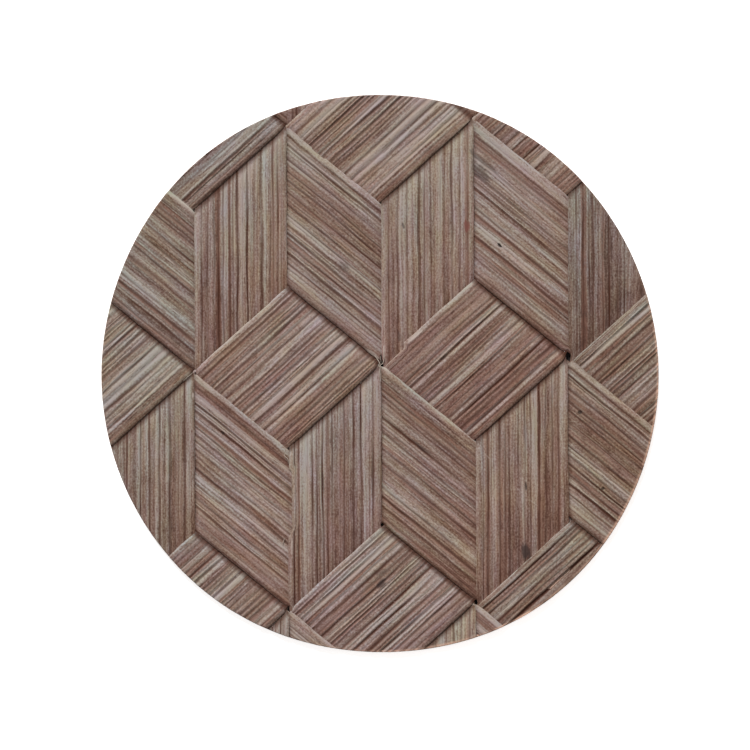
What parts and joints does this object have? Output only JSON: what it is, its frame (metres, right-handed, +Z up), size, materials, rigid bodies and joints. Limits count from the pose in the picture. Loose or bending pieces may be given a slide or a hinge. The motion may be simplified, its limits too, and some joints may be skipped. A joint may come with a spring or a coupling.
{
  "type": "round woven doormat",
  "caption": "Round flat doormat of wide ribbed strips woven in three directions over and under each other and cut off clean at the rim.",
  "frame": {"origin": "on the floor under the middle of the mat", "axes": "+Z up out of the mat's face, +Y to the top of the picture, +X to its right"},
  "size_m": [0.5998, 0.6, 0.0079],
  "materials": {
    "strips": "dry, weathered and ribbed, grey-brown with red-brown furrows",
    "base": "matt felted base sheet, seen as a hairline at the rim"
  },
  "bodies": {
    "root": {"mat": "strips"}
  },
  "joints": []
}
